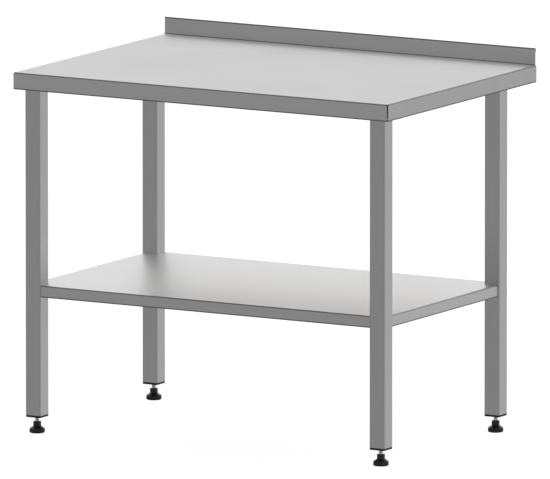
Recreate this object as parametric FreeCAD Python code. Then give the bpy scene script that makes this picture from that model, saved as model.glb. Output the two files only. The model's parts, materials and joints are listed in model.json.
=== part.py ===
"""Stainless work table with an upstand, one undershelf and adjustable feet.

Millimetres, +Z up. The origin is on the floor, at the centre of the table's footprint:
+X runs along the length, -Y is the working side and +Y is the wall side with the upstand.
"""

import FreeCAD
import Part

import math
import os

from FreeCAD import Vector

os.makedirs("parts", exist_ok=True)

# Overall sizes
TABLE_LENGTH = 1000.0
TABLE_DEPTH = 700.0
WORKTOP_HEIGHT = 850.0
UPSTAND_HEIGHT = 40.0

# Folded sheet
SHEET = 1.0
BEND_INNER = 2.5
BEND_OUTER = BEND_INNER + SHEET
FOLD_INNER = 0.5
FOLD_OUTER = FOLD_INNER + SHEET
APRON_DEPTH = 40.0
APRON_RETURN = 15.0
CORNER_GAP = 2.0
MITRE = 20.0
UPSTAND_THICKNESS = 2.5
UPSTAND_END_GAP = 2.0
HEM_LENGTH = 10.0
HEM_INNER = 0.25

# Board bonded under the worktop sheet
BOARD_THICKNESS = 18.0
BOARD_EDGE_GAP = 4.5

# Strip that closes the back of the worktop
CLOSING_TOP_GAP = 2.0
CLOSING_END_GAP = 0.5

# Legs and rails
TUBE = 40.0
TUBE_WALL = 1.5
TUBE_RADIUS = 3.5
LEG_INSET = 20.0
REAR_LEG_INSET = 100.0
RAIL_HEIGHT = 20.0
RAIL_RADIUS = 3.0

# Hat channels
CHANNEL_HEIGHT = 20.0
CHANNEL_SHEET = 1.5
CHANNEL_BEND = 1.5
CHANNEL_FLANGE = 15.0
CHANNEL_CROWN = 24.0

# Undershelf
SHELF_HEIGHT = 350.0
SHELF_LIP = 28.0
SHELF_RETURN = 12.0
SHELF_SETBACK = 3.5
SHELF_LEG_GAP = 0.5
SHELF_CHANNEL_LENGTH = 910.0

# Angle brackets
BRACKET_SHEET = 2.0
BRACKET_BEND = 1.0
BRACKET_OUTER = BRACKET_BEND + BRACKET_SHEET
TOP_BRACKET_LENGTH = 30.0
TOP_BRACKET_REACH = 25.0
TOP_BRACKET_DROP = 15.0
TOP_BRACKET_HOLE = 15.0
SHELF_BRACKET_LENGTH = 24.0
SHELF_BRACKET_REACH = 30.0
SHELF_BRACKET_DROP = 22.0
SHELF_BRACKET_HOLE = 18.0

# Screws that hold the worktop down
SCREW_RADIUS = 2.5
SCREW_DEPTH = 14.0
SCREW_HEAD_RADIUS = 4.5
SCREW_HEAD_HEIGHT = 3.0
SCREW_HOLE_CLEARANCE = 0.25
PILOT_CLEARANCE = 0.05
LONG_RAIL_FIXINGS = (-330.0, 330.0)
SHORT_RAIL_FIXING_OFFSET = 170.0

# M6 weld studs and flange nuts under the shelf
STUD_RADIUS = 3.0
STUD_LENGTH = 16.0
STUD_HOLE_CLEARANCE = 0.3
NUT_BORE_CLEARANCE = 0.05
NUT_ACROSS_FLATS = 10.0
NUT_HEIGHT = 6.0
NUT_FLANGE_RADIUS = 7.0
NUT_FLANGE_HEIGHT = 1.2

# Plug in the end of each leg, and the M10 threaded bush in it
PLUG_FLANGE_BOTTOM = 38.0
PLUG_FLANGE = 5.0
PLUG_CHAMFER = 0.8
PLUG_CLEARANCE = 0.1
PLUG_CORNER = 1.8
PLUG_SKIRT = 25.0
PLUG_WALL = 2.5
PLUG_BOSS_RADIUS = 11.0
PLUG_RIB = 2.0
PLUG_HOLE_RADIUS = 5.6
BUSH_RADIUS = 8.0
BUSH_SEAT_CLEARANCE = 0.05
BUSH_FLOOR = 3.0
BUSH_LENGTH = 25.0
BUSH_CHAMFER = 0.8

# Foot: M10 spindle with a ball end, hexagon collar, base and anti-slip pad
SPINDLE_RADIUS = 5.0
RUNNING_CLEARANCE = 0.05
SPINDLE_TOP = 92.0
SPINDLE_CHAMFER = 1.0
BALL_RADIUS = 5.0
BALL_HEIGHT = 9.5
BALL_NECK_RADIUS = 3.5
SOCKET_MOUTH_RADIUS = 3.8
COLLAR_ACROSS_FLATS = 16.0
COLLAR_TOP = 27.0
COLLAR_CHAMFER = 0.8
COLLAR_BORE_CLEARANCE = 0.02
BASE_RADIUS = 18.0
BASE_TOP_RADIUS = 9.3
BASE_BOTTOM = 0.8
BASE_RIM_TOP = 10.5
BASE_TOP = 16.0
BASE_LOWER_ROUND = 1.2
BASE_UPPER_ROUND = 0.8
PAD_RADIUS = 16.0
PAD_THICKNESS = 3.0
PAD_ROUND = 0.5
PAD_CLEARANCE = 0.1

# An edge is upright when its direction's Z part is over UPRIGHT, and level at a height when it
# lies within LEVEL of it
UPRIGHT = 0.9
LEVEL = 0.001

# Heights and planes that follow from the sizes above
HALF_LENGTH = TABLE_LENGTH / 2
HALF_DEPTH = TABLE_DEPTH / 2
SHEET_UNDERSIDE = WORKTOP_HEIGHT - SHEET
FRAME_TOP = SHEET_UNDERSIDE - BOARD_THICKNESS
APRON_BOTTOM = WORKTOP_HEIGHT - APRON_DEPTH
APRON_TOP = WORKTOP_HEIGHT
TABLE_TOP = WORKTOP_HEIGHT + UPSTAND_HEIGHT
UPSTAND_FRONT = HALF_DEPTH - UPSTAND_THICKNESS
UPSTAND_BACK = UPSTAND_FRONT + SHEET
UPSTAND_HALF_LENGTH = HALF_LENGTH - UPSTAND_END_GAP
LEG_X = HALF_LENGTH - LEG_INSET - TUBE / 2
LEG_FRONT_Y = -HALF_DEPTH + LEG_INSET + TUBE / 2
LEG_REAR_Y = HALF_DEPTH - REAR_LEG_INSET - TUBE / 2
LEG_BOTTOM = PLUG_FLANGE_BOTTOM + PLUG_FLANGE
INNER_X = LEG_X - TUBE / 2
INNER_FRONT_Y = LEG_FRONT_Y + TUBE / 2
INNER_REAR_Y = LEG_REAR_Y - TUBE / 2
SHELF_UNDERSIDE = SHELF_HEIGHT - SHEET
SHELF_HALF_X = LEG_X + TUBE / 2 - SHELF_SETBACK
SHELF_FRONT_Y = LEG_FRONT_Y - TUBE / 2 + SHELF_SETBACK
SHELF_REAR_Y = LEG_REAR_Y + TUBE / 2 - SHELF_SETBACK
MIDDLE_Y = (LEG_FRONT_Y + LEG_REAR_Y) / 2

LEGS = {
    "front_left": (-LEG_X, LEG_FRONT_Y),
    "front_right": (LEG_X, LEG_FRONT_Y),
    "rear_left": (-LEG_X, LEG_REAR_Y),
    "rear_right": (LEG_X, LEG_REAR_Y),
}

ORIGIN = Vector(0, 0, 0)
UP = Vector(0, 0, 1)
QUARTER = 90.0
HALF_TURN = 180.0
HEXAGON_SIDES = 6


def save(name, *solids):
    """Write one sub-part. Identical fasteners are a group of separate solids."""
    shape = solids[0] if len(solids) == 1 else Part.makeCompound(list(solids))
    for solid in shape.Solids:
        assert solid.isValid(), name
    assert len(shape.Solids) == len(solids), name
    shape.exportStep(f"parts/{name}.step")


def moved(shape, x=0.0, y=0.0, z=0.0, turn=0.0):
    """A copy of the shape, turned about the Z axis and then moved."""
    copy = shape.copy()
    copy.rotate(ORIGIN, UP, turn)
    copy.translate(Vector(x, y, z))
    return copy


def joined(first, *others):
    return first.fuse(list(others)).removeSplitter()


def box(x0, x1, y0, y1, z0, z1):
    return Part.makeBox(x1 - x0, y1 - y0, z1 - z0, Vector(x0, y0, z0))


def cylinder(radius, z0, z1, x=0.0, y=0.0):
    return Part.makeCylinder(radius, z1 - z0, Vector(x, y, z0))


def edges_at(solid, z):
    """The solid's edges that lie level at height Z."""
    bounds = [(edge, edge.BoundBox) for edge in solid.Edges]
    return [edge for edge, b in bounds if abs(b.ZMin - z) < LEVEL and abs(b.ZMax - z) < LEVEL]


def rounded(solid, z, radius):
    """The solid with its edges at height Z rounded."""
    return solid.makeFillet(radius, edges_at(solid, z))


def chamfered_cylinder(radius, z0, z1, chamfer):
    """A vertical bar with a chamfer at its top end."""
    shank = cylinder(radius, z0, z1 - chamfer)
    return shank.fuse(Part.makeCone(radius, radius - chamfer, chamfer, Vector(0, 0, z1 - chamfer)))


def prism(outline, z0, z1):
    """A vertical prism on a plan outline of (x, y) points."""
    corners = [Vector(x, y, z0) for x, y in outline]
    face = Part.Face(Part.makePolygon(corners + corners[:1]))
    return face.extrude(Vector(0, 0, z1 - z0))


def hexagon(across_flats, z0, z1):
    """A hexagonal prism with two of its flats facing +X and -X."""
    corner = across_flats / math.sqrt(3)
    angles = [(side + 0.5) * 2 * math.pi / HEXAGON_SIDES for side in range(HEXAGON_SIDES)]
    return prism([(corner * math.cos(a), corner * math.sin(a)) for a in angles], z0, z1)


def rounded_block(width, depth, height, radius):
    """An upright block, centred on the Z axis and standing on Z = 0, with rounded upright edges."""
    block = box(-width / 2, width / 2, -depth / 2, depth / 2, 0, height)
    upright = [e for e in block.Edges if abs(e.tangentAt(e.FirstParameter).z) > UPRIGHT]
    return block.makeFillet(radius, upright)


def tube(width, depth, length, radius):
    """A rectangular tube, standing on Z = 0."""
    core = rounded_block(width - 2 * TUBE_WALL, depth - 2 * TUBE_WALL, length, radius - TUBE_WALL)
    return rounded_block(width, depth, length, radius).cut(core)


def folded_sheet(start, heading, steps, thickness, length):
    """A folded sheet, extruded along +X from X = 0.

    Its section is drawn in Y and Z by walking along one face of the sheet, with the material
    on the left. A step is a flat's length alone, or an inner bend radius and a turn in degrees,
    positive to the left.
    """
    near = Vector(0, *start)
    along = Vector(0, math.cos(math.radians(heading)), math.sin(math.radians(heading)))
    axis = Vector(1, 0, 0)
    near_edges = []
    far_edges = []
    near_start = near
    far_start = near + axis.cross(along) * thickness
    for step in steps:
        left = axis.cross(along)
        far = near + left * thickness
        if len(step) == 1:
            near_end = near + along * step[0]
            far_end = far + along * step[0]
            near_edges.append(Part.makeLine(near, near_end))
            far_edges.append(Part.makeLine(far, far_end))
        else:
            radius, turn = step
            reach = thickness + radius if turn > 0 else -radius
            centre = near + left * reach
            half = FreeCAD.Rotation(axis, turn / 2)
            full = FreeCAD.Rotation(axis, turn)
            near_end = centre + full.multVec(near - centre)
            far_end = centre + full.multVec(far - centre)
            near_edges.append(Part.Arc(near, centre + half.multVec(near - centre), near_end).toShape())
            far_edges.append(Part.Arc(far, centre + half.multVec(far - centre), far_end).toShape())
            along = full.multVec(along)
        near = near_end
    ends = [Part.makeLine(near, far_end), Part.makeLine(far_start, near_start)]
    outline = Part.Wire(Part.__sortEdges__(near_edges + far_edges + ends))
    return Part.Face(outline).extrude(Vector(length, 0, 0))


def lip(length, depth, fold):
    """A turned-down edge with a return, along +X. Its outer face is at Y = 0 and its top at Z = 0."""
    face = depth - BEND_OUTER - FOLD_OUTER
    steps = [(BEND_INNER, QUARTER), (face,), (FOLD_INNER, QUARTER), (fold - FOLD_OUTER,)]
    return folded_sheet((BEND_OUTER, 0), HALF_TURN, steps, SHEET, length)


def angle_bracket(length, reach, drop, hole_at, hole_radius):
    """An angle bracket with its back on Y = 0, its top at Z = 0 and its arm towards +Y."""
    steps = [(reach - BRACKET_OUTER,), (BRACKET_BEND, QUARTER), (drop - BRACKET_OUTER,)]
    plate = moved(folded_sheet((reach, 0), HALF_TURN, steps, BRACKET_SHEET, length), x=-length / 2)
    return plate.cut(cylinder(hole_radius, -2 * BRACKET_SHEET, BRACKET_SHEET, y=hole_at))


def hat_channel(length):
    """A hat-section stiffener along X, centred on the Z axis, with its flanges' top faces at Z = 0."""
    web = CHANNEL_HEIGHT - 2 * CHANNEL_SHEET - 2 * CHANNEL_BEND
    half_width = CHANNEL_FLANGE + 2 * CHANNEL_BEND + CHANNEL_SHEET + CHANNEL_CROWN / 2
    steps = [
        (CHANNEL_FLANGE,),
        (CHANNEL_BEND, -QUARTER),
        (web,),
        (CHANNEL_BEND, QUARTER),
        (CHANNEL_CROWN,),
        (CHANNEL_BEND, QUARTER),
        (web,),
        (CHANNEL_BEND, -QUARTER),
        (CHANNEL_FLANGE,),
    ]
    hat = folded_sheet((-half_width, -CHANNEL_SHEET), 0, steps, CHANNEL_SHEET, length)
    return moved(hat, x=-length / 2)


def front_mitre():
    """The plan region of the front apron: its ends are cut at 45 degrees, clear of the side aprons."""
    front = -HALF_DEPTH
    outer = HALF_LENGTH - CORNER_GAP
    inner = outer - MITRE
    outline = [(-outer, front), (outer, front), (inner, front + MITRE), (-inner, front + MITRE)]
    return prism(outline, APRON_BOTTOM, APRON_TOP)


def side_mitre(side):
    """The plan region of a side apron: only its front end is cut at 45 degrees."""
    front = -HALF_DEPTH + CORNER_GAP
    outer = side * HALF_LENGTH
    inner = side * (HALF_LENGTH - MITRE)
    outline = [(outer, front), (outer, HALF_DEPTH), (inner, HALF_DEPTH), (inner, front + MITRE)]
    return prism(outline, APRON_BOTTOM, APRON_TOP)


def make_worktop_skin():
    """The folded worktop sheet: flat top, three aprons with open corners, and the hemmed upstand."""
    half_x = HALF_LENGTH - BEND_OUTER
    front_y = -HALF_DEPTH + BEND_OUTER
    rear_y = UPSTAND_FRONT - BEND_INNER
    plate = box(-half_x, half_x, front_y, rear_y, SHEET_UNDERSIDE, WORKTOP_HEIGHT)
    long_lip = lip(TABLE_LENGTH, APRON_DEPTH, APRON_RETURN)
    side_lip = lip(TABLE_DEPTH, APRON_DEPTH, APRON_RETURN)
    front = moved(long_lip, -HALF_LENGTH, -HALF_DEPTH, WORKTOP_HEIGHT).common(front_mitre())
    right = moved(side_lip, HALF_LENGTH, -HALF_DEPTH, WORKTOP_HEIGHT, QUARTER).common(side_mitre(1))
    left = moved(side_lip, -HALF_LENGTH, HALF_DEPTH, WORKTOP_HEIGHT, -QUARTER).common(side_mitre(-1))
    hem_outer = HEM_INNER + SHEET
    upright = UPSTAND_HEIGHT - BEND_INNER - hem_outer
    steps = [(BEND_INNER, QUARTER), (upright,), (HEM_INNER, -HALF_TURN), (HEM_LENGTH - hem_outer,)]
    upstand = folded_sheet((rear_y, SHEET_UNDERSIDE), 0, steps, SHEET, 2 * UPSTAND_HALF_LENGTH)
    upstand = moved(upstand, x=-UPSTAND_HALF_LENGTH)
    save("worktop_skin", joined(plate, front, right, left, upstand))


def fixing_places():
    """Each worktop fixing: the plan point on a rail's inner face, and the turn of its bracket."""
    offset = SHORT_RAIL_FIXING_OFFSET
    front = [(x, INNER_FRONT_Y, 0.0) for x in LONG_RAIL_FIXINGS]
    rear = [(x, INNER_REAR_Y, HALF_TURN) for x in LONG_RAIL_FIXINGS]
    left = [(-INNER_X, MIDDLE_Y + dy, -QUARTER) for dy in (-offset, offset)]
    right = [(INNER_X, MIDDLE_Y + dy, QUARTER) for dy in (-offset, offset)]
    return front + rear + left + right


def make_worktop_board():
    """The board that backs the sheet, with a pilot hole for each fixing screw."""
    half_x = HALF_LENGTH - BOARD_EDGE_GAP
    front_y = -HALF_DEPTH + BOARD_EDGE_GAP
    rear_y = UPSTAND_FRONT - BEND_INNER
    board = box(-half_x, half_x, front_y, rear_y, FRAME_TOP, SHEET_UNDERSIDE)
    pilot = cylinder(SCREW_RADIUS + PILOT_CLEARANCE, 0, SCREW_DEPTH + PILOT_CLEARANCE, y=TOP_BRACKET_HOLE)
    board = board.cut([moved(pilot, x, y, FRAME_TOP, turn) for x, y, turn in fixing_places()])
    save("worktop_board", board)


def make_rear_closing_strip():
    """The upright strip behind the board and upstand, with a return under the board's rear edge.

    Its ends are clear of the side aprons' bends, and its notched corners of their returns.
    """
    half_length = HALF_LENGTH - BEND_OUTER - CLOSING_END_GAP
    top = TABLE_TOP - HEM_LENGTH - CLOSING_TOP_GAP
    face = UPSTAND_BACK + SHEET
    steps = [(APRON_RETURN - FOLD_OUTER,), (FOLD_INNER, QUARTER), (top - APRON_BOTTOM - FOLD_OUTER,)]
    strip = folded_sheet((face - APRON_RETURN, APRON_BOTTOM), 0, steps, SHEET, 2 * half_length)
    notch_x = HALF_LENGTH - APRON_RETURN - CLOSING_END_GAP
    notch_top = APRON_BOTTOM + FOLD_OUTER + CLOSING_END_GAP
    right = box(notch_x, HALF_LENGTH, face - APRON_RETURN, face, APRON_BOTTOM, notch_top)
    left = moved(right, x=-notch_x - HALF_LENGTH)
    save("rear_closing_strip", moved(strip, x=-half_length).cut([right, left]))


def make_worktop_fixings():
    """Angle brackets on the rails, and the screws that go up through them into the board."""
    hole_y = TOP_BRACKET_HOLE
    hole = SCREW_RADIUS + SCREW_HOLE_CLEARANCE
    bracket = angle_bracket(TOP_BRACKET_LENGTH, TOP_BRACKET_REACH, TOP_BRACKET_DROP, hole_y, hole)
    seat = -BRACKET_SHEET
    shank = cylinder(SCREW_RADIUS, seat, SCREW_DEPTH, y=hole_y)
    head_foot = Vector(0, hole_y, seat - SCREW_HEAD_HEIGHT)
    head = Part.makeCone(SCREW_HEAD_RADIUS / 2, SCREW_HEAD_RADIUS, SCREW_HEAD_HEIGHT, head_foot)
    screw = joined(shank, head)
    places = fixing_places()
    save("worktop_fixing_brackets", *[moved(bracket, x, y, FRAME_TOP, turn) for x, y, turn in places])
    save("worktop_fixing_screws", *[moved(screw, x, y, FRAME_TOP, turn) for x, y, turn in places])


def make_rails():
    """The top frame: four rails welded between the legs, and the channel across the middle."""
    long_rail = tube(RAIL_HEIGHT, TUBE, 2 * INNER_X, RAIL_RADIUS)
    long_rail.rotate(ORIGIN, Vector(0, 1, 0), QUARTER)
    short_rail = tube(TUBE, RAIL_HEIGHT, INNER_REAR_Y - INNER_FRONT_Y, RAIL_RADIUS)
    short_rail.rotate(ORIGIN, Vector(1, 0, 0), -QUARTER)
    middle = FRAME_TOP - RAIL_HEIGHT / 2
    save("frame_rail_front", moved(long_rail, -INNER_X, LEG_FRONT_Y, middle))
    save("frame_rail_rear", moved(long_rail, -INNER_X, LEG_REAR_Y, middle))
    save("frame_rail_left", moved(short_rail, -LEG_X, INNER_FRONT_Y, middle))
    save("frame_rail_right", moved(short_rail, LEG_X, INNER_FRONT_Y, middle))
    channel = hat_channel(INNER_REAR_Y - INNER_FRONT_Y)
    save("worktop_centre_channel", moved(channel, 0, MIDDLE_Y, FRAME_TOP, QUARTER))


def make_legs():
    leg = tube(TUBE, TUBE, FRAME_TOP - LEG_BOTTOM, TUBE_RADIUS)
    for place, (x, y) in LEGS.items():
        save(f"leg_{place}", moved(leg, x, y, LEG_BOTTOM))


def make_shelf_panel():
    """The shelf sheet: notched round the legs, with a turned-down lip between each pair of legs."""
    across = INNER_X - SHELF_LEG_GAP
    front_end = INNER_FRONT_Y + SHELF_LEG_GAP
    rear_end = INNER_REAR_Y - SHELF_LEG_GAP
    bend_x = SHELF_HALF_X - BEND_OUTER
    bend_front = SHELF_FRONT_Y + BEND_OUTER
    bend_rear = SHELF_REAR_Y - BEND_OUTER
    plate_along_x = box(-bend_x, bend_x, front_end, rear_end, SHELF_UNDERSIDE, SHELF_HEIGHT)
    plate_along_y = box(-across, across, bend_front, bend_rear, SHELF_UNDERSIDE, SHELF_HEIGHT)
    long_lip = lip(2 * across, SHELF_LIP, SHELF_RETURN)
    side_lip = lip(rear_end - front_end, SHELF_LIP, SHELF_RETURN)
    front = moved(long_lip, -across, SHELF_FRONT_Y, SHELF_HEIGHT)
    rear = moved(long_lip, across, SHELF_REAR_Y, SHELF_HEIGHT, HALF_TURN)
    right = moved(side_lip, SHELF_HALF_X, front_end, SHELF_HEIGHT, QUARTER)
    left = moved(side_lip, -SHELF_HALF_X, rear_end, SHELF_HEIGHT, -QUARTER)
    save("shelf_panel", joined(plate_along_x, plate_along_y, front, rear, right, left))


def make_shelf_fixings():
    """Under each corner of the shelf: a bracket on the leg, a weld stud on the shelf, and its nut."""
    hole_y = SHELF_BRACKET_HOLE
    hole = STUD_RADIUS + STUD_HOLE_CLEARANCE
    bracket = angle_bracket(SHELF_BRACKET_LENGTH, SHELF_BRACKET_REACH, SHELF_BRACKET_DROP, hole_y, hole)
    stud = cylinder(STUD_RADIUS, -STUD_LENGTH, 0, y=hole_y)
    seat = -BRACKET_SHEET
    nut = joined(
        hexagon(NUT_ACROSS_FLATS, seat - NUT_HEIGHT, seat - NUT_FLANGE_HEIGHT / 2),
        cylinder(NUT_FLANGE_RADIUS, seat - NUT_FLANGE_HEIGHT, seat),
    )
    nut = nut.cut(cylinder(STUD_RADIUS + NUT_BORE_CLEARANCE, -STUD_LENGTH, 0))
    nut = moved(nut, y=hole_y)
    brackets = []
    studs = []
    nuts = []
    for x, y in LEGS.values():
        side = math.copysign(1, x)
        place = (side * INNER_X, y, SHELF_UNDERSIDE, side * QUARTER)
        brackets.append(moved(bracket, *place))
        studs.append(moved(stud, *place))
        nuts.append(moved(nut, *place))
    save("shelf_brackets", *brackets)
    save("shelf_studs", *studs)
    save("shelf_nuts", *nuts)


def make_shelf_channel():
    save("shelf_channel", moved(hat_channel(SHELF_CHANNEL_LENGTH), 0, MIDDLE_Y, SHELF_UNDERSIDE))


def leg_plug():
    """The square plug: a flange under the tube, and a skirt, boss and ribs inside it."""
    flange = rounded_block(TUBE, TUBE, PLUG_FLANGE, TUBE_RADIUS)
    flange = flange.makeChamfer(PLUG_CHAMFER, edges_at(flange, 0))
    outer = TUBE - 2 * TUBE_WALL - 2 * PLUG_CLEARANCE
    inner = outer / 2 - PLUG_WALL
    core = box(-inner, inner, -inner, inner, 0, PLUG_SKIRT)
    skirt = rounded_block(outer, outer, PLUG_SKIRT, PLUG_CORNER).cut(core)
    boss = cylinder(PLUG_BOSS_RADIUS, 0, PLUG_SKIRT)
    reach = outer / 2 - PLUG_WALL / 2
    rib_x = box(-reach, reach, -PLUG_RIB / 2, PLUG_RIB / 2, 0, PLUG_SKIRT)
    rib_y = moved(rib_x, turn=QUARTER)
    inside = [moved(s, z=PLUG_FLANGE) for s in (skirt, boss, rib_x, rib_y)]
    seat = cylinder(BUSH_RADIUS + BUSH_SEAT_CLEARANCE, BUSH_FLOOR, PLUG_FLANGE + PLUG_SKIRT)
    return joined(flange, *inside).cut([seat, cylinder(PLUG_HOLE_RADIUS, 0, PLUG_FLANGE)])


def thread_bush():
    """The M10 bush in the plug's boss. Its thread is a plain bore just over the spindle's size."""
    bush = chamfered_cylinder(BUSH_RADIUS, 0, BUSH_LENGTH, BUSH_CHAMFER)
    return bush.removeSplitter().cut(cylinder(SPINDLE_RADIUS + RUNNING_CLEARANCE, 0, BUSH_LENGTH))


def foot_spindle():
    """The M10 bar with its ball end. Its thread is a plain cylinder of the thread's outer size."""
    shoulder = BASE_TOP + RUNNING_CLEARANCE
    bar = chamfered_cylinder(SPINDLE_RADIUS, shoulder, SPINDLE_TOP, SPINDLE_CHAMFER)
    ball = Part.makeSphere(BALL_RADIUS, Vector(0, 0, BALL_HEIGHT))
    return joined(bar, ball, cylinder(BALL_NECK_RADIUS, BALL_HEIGHT, shoulder))


def foot_collar():
    """The hexagon by which the spindle is turned, chamfered at its top."""
    bottom = BASE_TOP + RUNNING_CLEARANCE
    corner = COLLAR_ACROSS_FLATS / math.sqrt(3)
    turned = chamfered_cylinder(corner, bottom, COLLAR_TOP, COLLAR_CHAMFER)
    collar = hexagon(COLLAR_ACROSS_FLATS, bottom, COLLAR_TOP).common(turned)
    return collar.cut(cylinder(SPINDLE_RADIUS + COLLAR_BORE_CLEARANCE, bottom, COLLAR_TOP))


def foot_base():
    """The round base: a rim, a cone up to the collar, a ball socket, and a recess for the pad."""
    rim = cylinder(BASE_RADIUS, BASE_BOTTOM, BASE_RIM_TOP)
    rim = rounded(rim, BASE_BOTTOM, BASE_LOWER_ROUND)
    rim = rounded(rim, BASE_RIM_TOP, BASE_UPPER_ROUND)
    cone_radius = BASE_RADIUS - BASE_UPPER_ROUND
    cone_height = BASE_TOP - BASE_RIM_TOP
    cone = Part.makeCone(cone_radius, BASE_TOP_RADIUS, cone_height, Vector(0, 0, BASE_RIM_TOP))
    recess = cylinder(PAD_RADIUS + PAD_CLEARANCE, BASE_BOTTOM, PAD_THICKNESS)
    socket = Part.makeSphere(BALL_RADIUS + RUNNING_CLEARANCE, Vector(0, 0, BALL_HEIGHT))
    mouth = cylinder(SOCKET_MOUTH_RADIUS, BALL_HEIGHT, BASE_TOP)
    return joined(rim, cone).cut([recess, socket, mouth])


def foot_pad():
    return rounded(cylinder(PAD_RADIUS, 0, PAD_THICKNESS), 0, PAD_ROUND)


def make_feet():
    pieces = {
        "leg_insert": moved(leg_plug(), z=PLUG_FLANGE_BOTTOM),
        "thread_bush": moved(thread_bush(), z=PLUG_FLANGE_BOTTOM + BUSH_FLOOR),
        "foot_spindle": foot_spindle(),
        "foot_collar": foot_collar(),
        "foot_base": foot_base(),
        "foot_pad": foot_pad(),
    }
    for place, (x, y) in LEGS.items():
        for name, shape in pieces.items():
            save(f"{name}_{place}", moved(shape, x, y))


make_worktop_skin()
make_worktop_board()
make_rear_closing_strip()
make_worktop_fixings()
make_rails()
make_legs()
make_shelf_panel()
make_shelf_channel()
make_shelf_fixings()
make_feet()
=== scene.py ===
import json
import math

import bmesh
import bpy
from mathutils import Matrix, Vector


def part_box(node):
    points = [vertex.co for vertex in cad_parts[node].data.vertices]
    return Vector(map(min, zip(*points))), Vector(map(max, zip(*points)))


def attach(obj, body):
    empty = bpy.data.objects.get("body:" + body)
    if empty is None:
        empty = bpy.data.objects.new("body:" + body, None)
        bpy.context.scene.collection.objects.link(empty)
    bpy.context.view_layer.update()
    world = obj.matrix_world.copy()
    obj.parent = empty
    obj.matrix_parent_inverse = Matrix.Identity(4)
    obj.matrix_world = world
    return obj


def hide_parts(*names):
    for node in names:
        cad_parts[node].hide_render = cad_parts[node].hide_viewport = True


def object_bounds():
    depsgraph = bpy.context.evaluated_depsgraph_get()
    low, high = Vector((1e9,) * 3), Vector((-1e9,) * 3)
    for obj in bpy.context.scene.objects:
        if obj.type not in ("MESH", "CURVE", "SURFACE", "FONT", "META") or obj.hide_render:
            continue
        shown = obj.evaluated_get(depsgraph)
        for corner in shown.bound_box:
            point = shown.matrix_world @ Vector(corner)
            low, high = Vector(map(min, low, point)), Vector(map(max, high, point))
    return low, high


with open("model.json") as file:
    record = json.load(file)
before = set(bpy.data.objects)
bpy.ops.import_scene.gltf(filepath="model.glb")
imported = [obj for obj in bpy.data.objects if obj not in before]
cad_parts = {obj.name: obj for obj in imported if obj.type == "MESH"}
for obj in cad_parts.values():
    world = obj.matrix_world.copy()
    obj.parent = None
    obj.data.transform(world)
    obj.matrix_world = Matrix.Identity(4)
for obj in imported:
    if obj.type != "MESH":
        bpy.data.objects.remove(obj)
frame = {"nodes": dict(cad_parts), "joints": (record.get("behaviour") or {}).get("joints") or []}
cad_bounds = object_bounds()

# The looks of the stainless work table. Metres, in the frame's own axes: +X along the length,
# -Y towards the person working at it, +Z up from the floor.

CORNERS = ("front_left", "front_right", "rear_left", "rear_right")
TABLE_BODY = "table"
LOW, HIGH = cad_bounds
CENTRE = (LOW + HIGH) / 2

# Camera: a long lens from far off, so that the view is nearly parallel
CAMERA_AZIMUTH = math.radians(29.88)
CAMERA_ELEVATION = math.radians(9.08)
CAMERA_LENS = 1480.0
SENSOR_WIDTH = 36.0
VIEW_WIDTH = 1.279
AIM_HEIGHT = 0.4484
CLIP_START = 1.0
CLIP_DISTANCES = 3

# Floor: just under the lowest that a foot can be screwed down
FOOT_TRAVEL = max(joint["range_m"][1] for joint in frame["joints"] if joint["type"] == "slide")
FLOOR_GAP = 0.0002
FLOOR_HALF_SIZE = 60.0
FLOOR_GREY = 0.25
FLOOR_GLOW = 0.85

# Studio light. Angles are in degrees from +X in plan, and a light with a higher power is narrower.
# Heights are on a sphere of radius 1. The low lights change to the sky from HORIZON_START up to a
# height that is lower at the wall side. Each rise and fade has its two heights, and then the levels
# at them. The flag is a dark card that shades the sky at the front.
BASE_LEVEL = 0.29
FRONT_ANGLE = 240
FRONT_POWER = 2.0
LOW_LIGHTS = (
    {"angle": 60, "power": 2.0, "strength": 0.38},
    {"angle": FRONT_ANGLE, "power": FRONT_POWER, "strength": 0.07},
    {"angle": 325, "power": 6.0, "strength": 0.25},
)
WALL_ANGLE = 120
HORIZON_START = -0.02
HORIZON_AWAY = 0.45
HORIZON_AT_WALL = 0.10
SKY_RISE = (0.12, 0.55, 0.67, 1.83)
SKY_FADE = (0.60, 0.90, 1.0, 0.25)
FLAG_RISE = (0.12, 0.40, 0.0, 1.0)
SEEN_BY_CAMERA = 1.0

# Grain of brushed steel: how fine it is along the streaks and across them, to the metre
FINE_GRAIN = (14.0, 1500.0)
BROAD_GRAIN = (3.0, 160.0)
BROAD_RELIEF = 0.4
TURNING_MARKS = 4000.0
ANISOTROPY = 0.8
SHELF_ANISOTROPY = 0.6

# Painted shade on the steel: its folds, rims, sheared ends and tube corners are painted darker,
# in place of the shade and dark reflections that fall on them. Folds, rims and sheared ends keep
# FOLD_SHADE_TONE of the flat steel's tone, and the corners of tubes and channels keep
# CORNER_SHADE_TONE of it. A surface that faces no axis by more than the
# first of FOLD_FACING is all fold, and one that faces an axis by more than the second is all flat.
# Steel is painted dark up to the first distance of RIM_SHADE from a rim, and keeps its own tone
# beyond the second. The upstand's bend reaches UPSTAND_FOOT above the board, and its ends are
# painted dark from there up.
FOLD_SHADE_TONE = 0.35
CORNER_SHADE_TONE = 0.8
FOLD_FACING = (0.96, 0.998)
SIDE_FACING = 0.7
END_FACING = 0.9
EDGE_FACING = 0.5
RIM_SHADE = (0.002, 0.004)
UPSTAND_FOOT = 0.002

# Wear along the worked edges, which are smoother and brighter by these
WEAR_WIDTH = 0.014
WEAR_SMOOTHING = -0.06
WEAR_SHINE = 0.02

# Screw thread of the feet. Its flats are given as parts of the pitch
THREAD_PITCH = 0.0015
THREAD_DEPTH = 0.00081
THREAD_CREST_FLAT = 0.12
THREAD_ROOT_FLAT = 0.08
THREAD_SIDES = 36
THREAD_ROWS = 8
SPINDLE_CHAMFER = 0.001
BALL_RADIUS = 0.005
BALL_NECK_RADIUS = 0.0035
BALL_STEPS = 10
THREAD_MERGE = 1e-7
RING_MERGE = 1e-6

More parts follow.
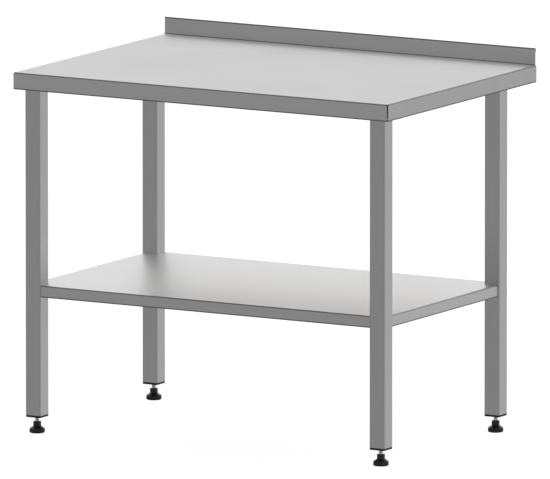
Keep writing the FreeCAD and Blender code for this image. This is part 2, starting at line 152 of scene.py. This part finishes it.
# Weld beads, at both ends of each rail, which runs along X (0) or Y (1)
RAIL_AXES = {"frame_rail_front": 0, "frame_rail_rear": 0, "frame_rail_left": 1, "frame_rail_right": 1}
BEAD_RADIUS = 0.0018
BEAD_MARGIN = 0.004
BEAD_RIPPLE = 0.12
BEAD_RIPPLE_LENGTH = 0.0016
BEAD_STEP = 0.0004
BEAD_SIDES = 10
BEAD_TIP = 0.05


def feed(tree, target, inputs):
    """Give a node's inputs values, or the outputs of other nodes."""
    for key, value in inputs.items():
        if isinstance(value, bpy.types.NodeSocket):
            tree.links.new(value, target.inputs[key])
        else:
            target.inputs[key].default_value = value


def node(tree, kind, inputs=None, **settings):
    made = tree.nodes.new(kind)
    for key, value in settings.items():
        setattr(made, key, value)
    feed(tree, made, inputs or {})
    return made


def maths(tree, operation, *values):
    return node(tree, "ShaderNodeMath", dict(enumerate(values)), operation=operation).outputs[0]


def highest(tree, first, *others):
    for other in others:
        first = maths(tree, "MAXIMUM", first, other)
    return first


def combined(tree, *values):
    """A vector from its X, Y and Z parts."""
    return node(tree, "ShaderNodeCombineXYZ", dict(enumerate(values))).outputs[0]


def parts(tree, vector):
    """A vector's X, Y and Z parts."""
    return list(node(tree, "ShaderNodeSeparateXYZ", {0: vector}).outputs)


def mixed(tree, factor, a, b):
    """a where factor is 0 and b where it is 1."""
    return node(tree, "ShaderNodeMix", {0: factor, 2: a, 3: b}).outputs[0]


def mixed_colour(tree, factor, a, b):
    return node(tree, "ShaderNodeMix", {0: factor, 6: a, 7: b}, data_type="RGBA").outputs[2]


def varied(tree, level, pattern, spread):
    """The level, moved up and down by a pattern that runs from 0 to 1."""
    return maths(tree, "MULTIPLY_ADD", maths(tree, "SUBTRACT", pattern, 0.5), spread, level)


def smooth_step(tree, value, start, end, low=0.0, high=1.0):
    """low up to start, high from end on, and a smooth change between them."""
    inputs = {"Value": value, "From Min": start, "From Max": end, "To Min": low, "To Max": high}
    return node(tree, "ShaderNodeMapRange", inputs, interpolation_type="SMOOTHSTEP").outputs[0]


def noise(tree, vector, scale, detail=2.0):
    inputs = {"Vector": vector, "Scale": scale, "Detail": detail}
    return node(tree, "ShaderNodeTexNoise", inputs).outputs[0]


def bump(tree, height, strength, depth):
    inputs = {"Height": height, "Strength": strength, "Distance": depth}
    return node(tree, "ShaderNodeBump", inputs).outputs[0]


def grey(tree, level):
    return node(tree, "ShaderNodeCombineColor", {0: level, 1: level, 2: level}).outputs[0]


def place(tree):
    """Where a point is, in the object's own coordinates."""
    return node(tree, "ShaderNodeTexCoord").outputs["Object"]


def surface_normal(tree):
    return node(tree, "ShaderNodeNewGeometry").outputs["Normal"]


def facing(tree, axis):
    """How squarely the surface faces along an axis, either way: 0 to 1."""
    return maths(tree, "ABSOLUTE", parts(tree, surface_normal(tree))[axis])


def turned_down(tree):
    """1 on the sides that a folded sheet has turned down at its two ends."""
    return maths(tree, "GREATER_THAN", facing(tree, 0), SIDE_FACING)


def new_material(name):
    """A new material: itself, its node tree and its main shader."""
    material = bpy.data.materials.new(name)
    material.use_nodes = True
    tree = material.node_tree
    return material, tree, tree.nodes["Principled BSDF"]


def grain(tree, position, along, folded, streaks):
    """A place stretched so that a noise makes streaks along one axis.

    The grain of a folded sheet runs down the sides that are turned down at its two ends.
    """
    axes = parts(tree, position)
    run, across, up = (axes[i] for i in {"x": (0, 1, 2), "y": (1, 0, 2), "z": (2, 0, 1)}[along])
    if folded:
        turned = turned_down(tree)
        run, up = mixed(tree, turned, run, up), mixed(tree, turned, up, run)
    along_it, across_it = streaks
    scaled = ((run, along_it), (across, across_it), (up, across_it))
    return combined(tree, *[maths(tree, "MULTIPLY", value, scale) for value, scale in scaled])


def across_grain(tree, along, folded):
    """The direction in the surface across its grain."""
    direction = [1.0 if axis == along else 0.0 for axis in "xyz"]
    if folded:
        turned = turned_down(tree)
        direction = [mixed(tree, turned, 1.0, 0.0), 0.0, turned]
    vectors = {0: surface_normal(tree), 1: combined(tree, *direction)}
    return node(tree, "ShaderNodeVectorMath", vectors, operation="CROSS_PRODUCT").outputs[0]


def painted_fold_shade(tree, position, level, tone=FOLD_SHADE_TONE, rims=(), ends_above=None):
    """The steel's tone, painted darker as shade where its surface turns away from the flat.

    The painted shade is on its rounded folds and corners, along rims at some heights, and on the sheared
    ends of what stands above one height.
    """
    height = parts(tree, position)[2]
    squarest = highest(tree, *[facing(tree, axis) for axis in range(3)])
    # Painted shade: folds and corners are painted darker, in place of the shade on them
    shade_mask = smooth_step(tree, squarest, *FOLD_FACING, low=1.0, high=0.0)
    for rim in rims:
        distance = maths(tree, "ABSOLUTE", maths(tree, "SUBTRACT", height, rim))
        shade_mask = highest(tree, shade_mask, smooth_step(tree, distance, *RIM_SHADE, low=1.0, high=0.0))
    if ends_above is not None:
        above = maths(tree, "GREATER_THAN", height, ends_above)
        end = maths(tree, "GREATER_THAN", facing(tree, 0), END_FACING)
        shade_mask = highest(tree, shade_mask, maths(tree, "MULTIPLY", end, above))
    return mixed(tree, shade_mask, level, maths(tree, "MULTIPLY", level, tone))


def edge_wear(tree, position, low, high):
    """1 at the two ends and the working side of a box, and 0 from WEAR_WIDTH inside it."""
    x, y = parts(tree, position)[:2]
    from_left = maths(tree, "SUBTRACT", x, low.x)
    from_right = maths(tree, "SUBTRACT", high.x, x)
    from_front = maths(tree, "SUBTRACT", y, low.y)
    nearest = maths(tree, "MINIMUM", maths(tree, "MINIMUM", from_left, from_right), from_front)
    return smooth_step(tree, nearest, 0.0, WEAR_WIDTH, low=1.0, high=0.0)


def brushed_steel(name, along, tone, roughness, painted_shade, folded=False, worn_box=None, anisotropy=ANISOTROPY):
    """Stainless steel with a fine brushed grain, broader rolling streaks, faint wiping smudges in its
    roughness, and painted shade on its folds, rims and corners.
    """
    material, tree, shader = new_material(name)
    position = place(tree)
    fine = noise(tree, grain(tree, position, along, folded, FINE_GRAIN), scale=1.0)
    broad = noise(tree, grain(tree, position, along, folded, BROAD_GRAIN), scale=1.0, detail=1.0)
    wiping = noise(tree, position, scale=5.0, detail=3.0)
    level = varied(tree, varied(tree, tone, fine, spread=0.10), broad, spread=0.05)
    rough = varied(tree, varied(tree, roughness, fine, spread=0.10), wiping, spread=0.08)
    if worn_box:
        wear = edge_wear(tree, position, *worn_box)
        rough = maths(tree, "MULTIPLY_ADD", wear, WEAR_SMOOTHING, rough)
        level = maths(tree, "MULTIPLY_ADD", wear, WEAR_SHINE, level)
    height = maths(tree, "MULTIPLY_ADD", broad, BROAD_RELIEF, fine)
    feed(tree, shader, {
        # Base colour with painted shade on the folds, rims and corners
        "Base Color": grey(tree, painted_fold_shade(tree, position, level, **painted_shade)),
        "Metallic": 1.0,
        "Roughness": rough,
        "Normal": bump(tree, height, strength=0.12, depth=0.00005),
        "Tangent": across_grain(tree, along, folded),
        "Anisotropic": anisotropy,
    })
    return material


def bright_steel():
    """Zinc-bright turned steel with faint turning rings round its axis."""
    material, tree, shader = new_material("bright_steel")
    position = place(tree)
    blotches = noise(tree, grain(tree, position, "x", False, (300.0, 300.0)), scale=1.0)
    turned = maths(tree, "MULTIPLY", parts(tree, position)[2], TURNING_MARKS)
    rings = noise(tree, combined(tree, 0.0, 0.0, turned), scale=1.0)
    feed(tree, shader, {
        "Base Color": grey(tree, mixed(tree, blotches, 0.86, 0.94)),
        "Metallic": 1.0,
        "Roughness": mixed(tree, blotches, 0.30, 0.42),
        "Normal": bump(tree, rings, strength=0.1, depth=0.00003),
    })
    return material


def weld_steel():
    """Weld metal: duller than the tube, with a straw tint in places."""
    material, tree, shader = new_material("weld_steel")
    position = place(tree)
    tint = smooth_step(tree, noise(tree, position, scale=90.0), 0.4, 0.7)
    feed(tree, shader, {
        "Base Color": mixed_colour(tree, tint, (0.42, 0.42, 0.42, 1), (0.46, 0.40, 0.31, 1)),
        "Metallic": 1.0,
        "Roughness": mixed(tree, noise(tree, position, scale=700.0), 0.3, 0.5),
    })
    return material


def chipboard():
    """Pressed wood chips: pale and dark flakes in a mid brown, and sawn edges painted near black, both as
    sealed edges and as painted shade in the open corner seams.
    """
    material, tree, shader = new_material("chipboard")
    position = place(tree)
    flakes = node(tree, "ShaderNodeTexVoronoi", {"Vector": position, "Scale": 420.0}).outputs["Color"]
    shade = node(tree, "ShaderNodeSeparateColor", {0: flakes}).outputs[0]
    factor = varied(tree, shade, noise(tree, position, scale=1800.0, detail=3.0), spread=0.4)
    wood = mixed_colour(tree, factor, (0.30, 0.19, 0.10, 1), (0.62, 0.46, 0.29, 1))
    # Sawn edges painted near black: sealed edges, and painted shade seen through the open corner seams
    sealed_shaded_edge = maths(tree, "LESS_THAN", facing(tree, 2), EDGE_FACING)
    feed(tree, shader, {
        "Base Color": mixed_colour(tree, sealed_shaded_edge, wood, (0.01, 0.01, 0.01, 1)),
        "Roughness": 0.8,
        "Normal": bump(tree, factor, strength=0.4, depth=0.0002),
    })
    return material


def black_nylon():
    """Moulded black nylon with a fine spark-eroded texture and faint scuffs."""
    material, tree, shader = new_material("black_nylon")
    position = place(tree)
    scuffs = smooth_step(tree, noise(tree, position, scale=160.0, detail=4.0), 0.5, 0.75)
    feed(tree, shader, {
        "Base Color": grey(tree, mixed(tree, scuffs, 0.006, 0.014)),
        "Roughness": mixed(tree, scuffs, 0.38, 0.50),
        "Specular IOR Level": 0.3,
        "Normal": bump(tree, noise(tree, position, scale=2600.0, detail=1.0), strength=0.25, depth=0.00006),
    })
    return material


def black_rubber():
    """Soft matt rubber with dust in its pores."""
    material, tree, shader = new_material("black_rubber")
    position = place(tree)
    dust = smooth_step(tree, noise(tree, position, scale=500.0, detail=3.0), 0.55, 0.8)
    feed(tree, shader, {
        "Base Color": grey(tree, mixed(tree, dust, 0.015, 0.045)),
        "Roughness": 0.85,
        "Normal": bump(tree, noise(tree, position, scale=1500.0), strength=0.3, depth=0.0001),
    })
    return material


def dress(material, *names):
    """Give CAD nodes a material in place of the plain one they are packed with."""
    for name in names:
        slots = frame["nodes"][name].data.materials
        slots.clear()
        slots.append(material)


def at_corners(*kinds):
    return [f"{kind}_{corner}" for kind in kinds for corner in CORNERS]


def dress_sheets():
    """The worktop with its board and closing strip, and the shelf."""
    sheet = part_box("worktop_skin")
    board_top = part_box("worktop_board")[1].z
    # Painted shade on the worktop's folds, along its lower and upper rims, and on the upstand's sheared
    # ends
    painted_shade = {"rims": (sheet[0].z, sheet[1].z), "ends_above": board_top + UPSTAND_FOOT}
    worktop = brushed_steel(
        "worktop_steel", "x", tone=0.62, roughness=0.50, painted_shade=painted_shade, folded=True, worn_box=sheet,
    )
    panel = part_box("shelf_panel")
    # Painted shade on the shelf's folds and along its lower rim
    shelf = brushed_steel(
        "shelf_steel", "x", tone=0.60, roughness=0.36, painted_shade={"rims": (panel[0].z,)}, folded=True,
        worn_box=panel, anisotropy=SHELF_ANISOTROPY,
    )
    strip = brushed_steel("strip_steel", "x", tone=0.60, roughness=0.32, painted_shade={})
    dress(worktop, "worktop_skin")
    dress(shelf, "shelf_panel")
    dress(strip, "rear_closing_strip")
    dress(chipboard(), "worktop_board")


def dress_frame():
    """The legs, rails, channels and brackets."""
    # Painted shade on the corners of the legs, rails and channels
    painted_shade = {"tone": CORNER_SHADE_TONE}
    leg = brushed_steel("leg_steel", "z", tone=0.60, roughness=0.30, painted_shade=painted_shade)
    rail = brushed_steel("rail_steel", "x", tone=0.58, roughness=0.32, painted_shade=painted_shade)
    cross = brushed_steel("cross_rail_steel", "y", tone=0.58, roughness=0.32, painted_shade=painted_shade)
    dress(leg, *at_corners("leg"))
    dress(rail, "frame_rail_front", "frame_rail_rear", "shelf_channel", "worktop_fixing_brackets")
    dress(cross, "frame_rail_left", "frame_rail_right", "worktop_centre_channel", "shelf_brackets")


def dress_fittings(bright):
    """The fixings, and the feet but for their spindles, which are replaced."""
    dress(bright, "worktop_fixing_screws", "shelf_studs", "shelf_nuts", *at_corners("thread_bush"))
    dress(black_nylon(), *at_corners("leg_insert", "foot_collar", "foot_base"))
    dress(black_rubber(), *at_corners("foot_pad"))


def finished(made, name, material, body):
    """A new piece from a bmesh: facing outwards, dressed, and riding on its body."""
    bmesh.ops.recalc_face_normals(made, faces=made.faces)
    mesh = bpy.data.meshes.new(name)
    made.to_mesh(mesh)
    made.free()
    mesh.materials.append(material)
    piece = bpy.data.objects.new(name, mesh)
    bpy.context.scene.collection.objects.link(piece)
    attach(piece, body)
    return piece


def skin(made, rings):
    """Faces between each ring of vertices and the next."""
    for a, b in zip(rings, rings[1:]):
        for side in range(len(a)):
            beyond = (side + 1) % len(a)
            made.faces.new((a[side], a[beyond], b[beyond], b[side]))


def spindle_vertex(made, axis, radius, side, height):
    angle = 2 * math.pi * side / THREAD_SIDES
    return made.verts.new((axis.x + radius * math.cos(angle), axis.y + radius * math.sin(angle), height))


def thread_radius(crest, row):
    """The thread's radius at a row of its profile: a flat root, a flank, a flat crest, a flank."""
    from_crest = abs(2 * row / THREAD_ROWS - 1)
    share = (from_crest - THREAD_CREST_FLAT) / (1 - THREAD_CREST_FLAT - THREAD_ROOT_FLAT)
    return crest - THREAD_DEPTH * min(max(share, 0), 1)


def helix_vertex(made, axis, crest, start, top, side, row):
    """A vertex of the thread, kept between its start and its chamfered top."""
    height = start + THREAD_PITCH * (row / THREAD_ROWS + side / THREAD_SIDES - 1)
    if height <= start:
        return spindle_vertex(made, axis, crest - THREAD_DEPTH, side, start)
    if height >= top:
        return spindle_vertex(made, axis, crest - SPINDLE_CHAMFER, side, top)
    chamfered = crest - max(0.0, height - (top - SPINDLE_CHAMFER))
    radius = min(thread_radius(crest, row % THREAD_ROWS), chamfered)
    return spindle_vertex(made, axis, radius, side, height)


def screw_thread(made, axis, crest, start, top):
    """A helical thread, closed at its top and open at its start.

    Each side of the grid stands a little higher than the last, so after a full turn a row of it
    meets the row that is one pitch further up.
    """
    rows = math.ceil(((top - start) / THREAD_PITCH + 1) * THREAD_ROWS)
    grid = [
        [helix_vertex(made, axis, crest, start, top, side, row) for side in range(THREAD_SIDES)]
        for row in range(rows + THREAD_ROWS + 1)
    ]
    for row in range(rows):
        for side in range(THREAD_SIDES):
            beyond = (side + 1) % THREAD_SIDES
            beyond_row = row if beyond else row + THREAD_ROWS
            lower, upper = grid[beyond_row][beyond], grid[beyond_row + 1][beyond]
            made.faces.new((grid[row][side], lower, upper, grid[row + 1][side]))
    bmesh.ops.remove_doubles(made, verts=made.verts, dist=THREAD_MERGE)
    bmesh.ops.dissolve_degenerate(made, dist=THREAD_MERGE, edges=made.edges)
    bmesh.ops.delete(made, geom=[v for v in made.verts if not v.link_faces], context="VERTS")
    open_edges = [e for e in made.edges if e.is_boundary]
    top_edges = [e for e in open_edges if any(abs(v.co.z - start) >= RING_MERGE for v in e.verts)]
    bmesh.ops.holes_fill(made, edges=top_edges)


def ball_end(made, axis, root, start, shoulder, bottom):
    """The plain shank below a thread, its neck and its ball."""
    profile = [(root, start), (root, shoulder), (BALL_NECK_RADIUS, shoulder)]
    neck_angle = math.asin(BALL_NECK_RADIUS / BALL_RADIUS)
    centre = bottom + BALL_RADIUS
    for step in range(BALL_STEPS):
        angle = neck_angle + (math.pi - neck_angle) * step / BALL_STEPS
        profile.append((BALL_RADIUS * math.sin(angle), centre + BALL_RADIUS * math.cos(angle)))
    rings = [
        [spindle_vertex(made, axis, radius, side, height) for side in range(THREAD_SIDES)]
        for radius, height in profile
    ]
    skin(made, rings)
    pole = made.verts.new((axis.x, axis.y, bottom))
    for side in range(THREAD_SIDES):
        made.faces.new((rings[-1][side], rings[-1][(side + 1) % THREAD_SIDES], pole))


def threaded_spindle(corner, bright):
    """The levelling screw: a real helical thread above the collar, and a ball end below it."""
    low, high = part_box(f"foot_spindle_{corner}")
    collar_low, collar_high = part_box(f"foot_collar_{corner}")
    axis = (low + high) / 2
    crest = (high.x - low.x) / 2
    made = bmesh.new()
    screw_thread(made, axis, crest, collar_high.z, high.z)
    ball_end(made, axis, crest - THREAD_DEPTH, collar_high.z, collar_low.z, low.z)
    bmesh.ops.remove_doubles(made, verts=made.verts, dist=RING_MERGE)
    piece = finished(made, f"threaded_spindle_{corner}", bright, f"spindle_{corner}")
    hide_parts(f"foot_spindle_{corner}")


def bead_radius(along, length):
    """A weld bead's radius: rippled along it, and rounded off at its ends."""
    ripple = 1 - BEAD_RIPPLE * (0.5 + 0.5 * math.cos(2 * math.pi * along / BEAD_RIPPLE_LENGTH))
    from_end = min(along, length - along)
    taper = math.sqrt(max(0.0, 1 - (1 - min(from_end / BEAD_RADIUS, 1)) ** 2))
    return BEAD_RADIUS * ripple * max(taper, BEAD_TIP)


def weld_bead(made, start, end):
    """One closed bead along a straight joint."""
    direction = (end - start).normalized()
    turn = direction.to_track_quat("Z", "Y").to_matrix()
    length = (end - start).length
    count = math.ceil(length / BEAD_STEP)
    angles = [2 * math.pi * side / BEAD_SIDES for side in range(BEAD_SIDES)]
    rings = []
    for step in range(count + 1):
        along = length * step / count
        radius = bead_radius(along, length)
        offsets = [turn @ Vector((radius * math.cos(a), radius * math.sin(a), 0)) for a in angles]
        rings.append([made.verts.new(start + direction * along + offset) for offset in offsets])
    skin(made, rings)
    made.faces.new(rings[0])
    made.faces.new(rings[-1])


def weld_beads():
    """Beads where the rails meet the legs: under each rail's end and up its inner side."""
    made = bmesh.new()
    for name, along in RAIL_AXES.items():
        low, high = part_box(name)
        across = 1 - along
        near, far = low[across] + BEAD_MARGIN, high[across] - BEAD_MARGIN
        inner = high[across] if low[across] < 0 else low[across]
        for end in (low[along], high[along]):
            runs = (
                ((near, low.z), (far, low.z)),
                ((inner, low.z + BEAD_MARGIN), (inner, high.z - BEAD_MARGIN)),
            )
            for run in runs:
                points = [(side, end, height) if along else (end, side, height) for side, height in run]
                weld_bead(made, *map(Vector, points))
    finished(made, "weld_beads", weld_steel(), TABLE_BODY)


def make_floor():
    """A plain white floor. It isn't mirrored in the steel, which shows the studio instead."""
    material, tree, shader = new_material("floor_white")
    feed(tree, shader, {
        "Base Color": (FLOOR_GREY, FLOOR_GREY, FLOOR_GREY, 1),
        "Roughness": 1.0,
        "Specular IOR Level": 0.0,
        "Emission Color": (1, 1, 1, 1),
        "Emission Strength": FLOOR_GLOW,
    })
    made = bmesh.new()
    bmesh.ops.create_grid(made, x_segments=1, y_segments=1, size=FLOOR_HALF_SIZE)
    mesh = bpy.data.meshes.new("floor")
    made.to_mesh(mesh)
    made.free()
    mesh.materials.append(material)
    floor = bpy.data.objects.new("floor", mesh)
    floor.location.z = LOW.z - FOOT_TRAVEL - FLOOR_GAP
    floor.visible_glossy = False
    bpy.context.scene.collection.objects.link(floor)


def make_studio():
    """Soft light from all round: brightest from above and from the wall side, darkest from the front left.

    The camera sees plain white in its place.
    """
    world = bpy.data.worlds.new("studio")
    bpy.context.scene.world = world
    world.use_nodes = True
    tree = world.node_tree
    x, y, z = parts(tree, node(tree, "ShaderNodeTexCoord").outputs["Generated"])

    def toward(angle):
        """The cosine between the direction in plan and an angle, or 0 where it points away."""
        turn = math.radians(angle)
        cosine = maths(tree, "MULTIPLY_ADD", y, math.sin(turn), maths(tree, "MULTIPLY", x, math.cos(turn)))
        return maths(tree, "MAXIMUM", cosine, 0.0)

    low = BASE_LEVEL
    for light in LOW_LIGHTS:
        card = maths(tree, "POWER", toward(light["angle"]), light["power"])
        low = maths(tree, "MULTIPLY_ADD", card, light["strength"], low)
    flag = maths(tree, "POWER", toward(FRONT_ANGLE), FRONT_POWER)
    flag = maths(tree, "MULTIPLY", flag, smooth_step(tree, z, *FLAG_RISE))
    sky = maths(tree, "MULTIPLY", smooth_step(tree, z, *SKY_RISE), smooth_step(tree, z, *SKY_FADE))
    sky = maths(tree, "MULTIPLY", sky, maths(tree, "SUBTRACT", 1.0, flag))
    horizon = mixed(tree, toward(WALL_ANGLE), HORIZON_AWAY, HORIZON_AT_WALL)
    light = mixed(tree, smooth_step(tree, z, HORIZON_START, horizon), low, sky)
    seen = node(tree, "ShaderNodeLightPath").outputs["Is Camera Ray"]
    feed(tree, tree.nodes["Background"], {"Color": grey(tree, mixed(tree, seen, light, SEEN_BY_CAMERA))})


def make_camera():
    data = bpy.data.cameras.new("camera")
    data.sensor_width = SENSOR_WIDTH
    data.lens = CAMERA_LENS
    distance = VIEW_WIDTH * CAMERA_LENS / SENSOR_WIDTH
    data.clip_start = CLIP_START
    data.clip_end = CLIP_DISTANCES * distance
    back = Vector((
        math.sin(CAMERA_AZIMUTH) * math.cos(CAMERA_ELEVATION),
        -math.cos(CAMERA_AZIMUTH) * math.cos(CAMERA_ELEVATION),
        math.sin(CAMERA_ELEVATION),
    ))
    camera = bpy.data.objects.new("camera", data)
    camera.location = Vector((CENTRE.x, CENTRE.y, LOW.z + AIM_HEIGHT)) + back * distance
    camera.rotation_euler = (-back).to_track_quat("-Z", "Y").to_euler()
    bpy.context.scene.collection.objects.link(camera)
    bpy.context.scene.camera = camera


make_camera()
bright = bright_steel()
dress_sheets()
dress_frame()
dress_fittings(bright)
for corner in CORNERS:
    threaded_spindle(corner, bright)
weld_beads()
make_floor()
make_studio()
bpy.context.scene.view_settings.view_transform = "Standard"
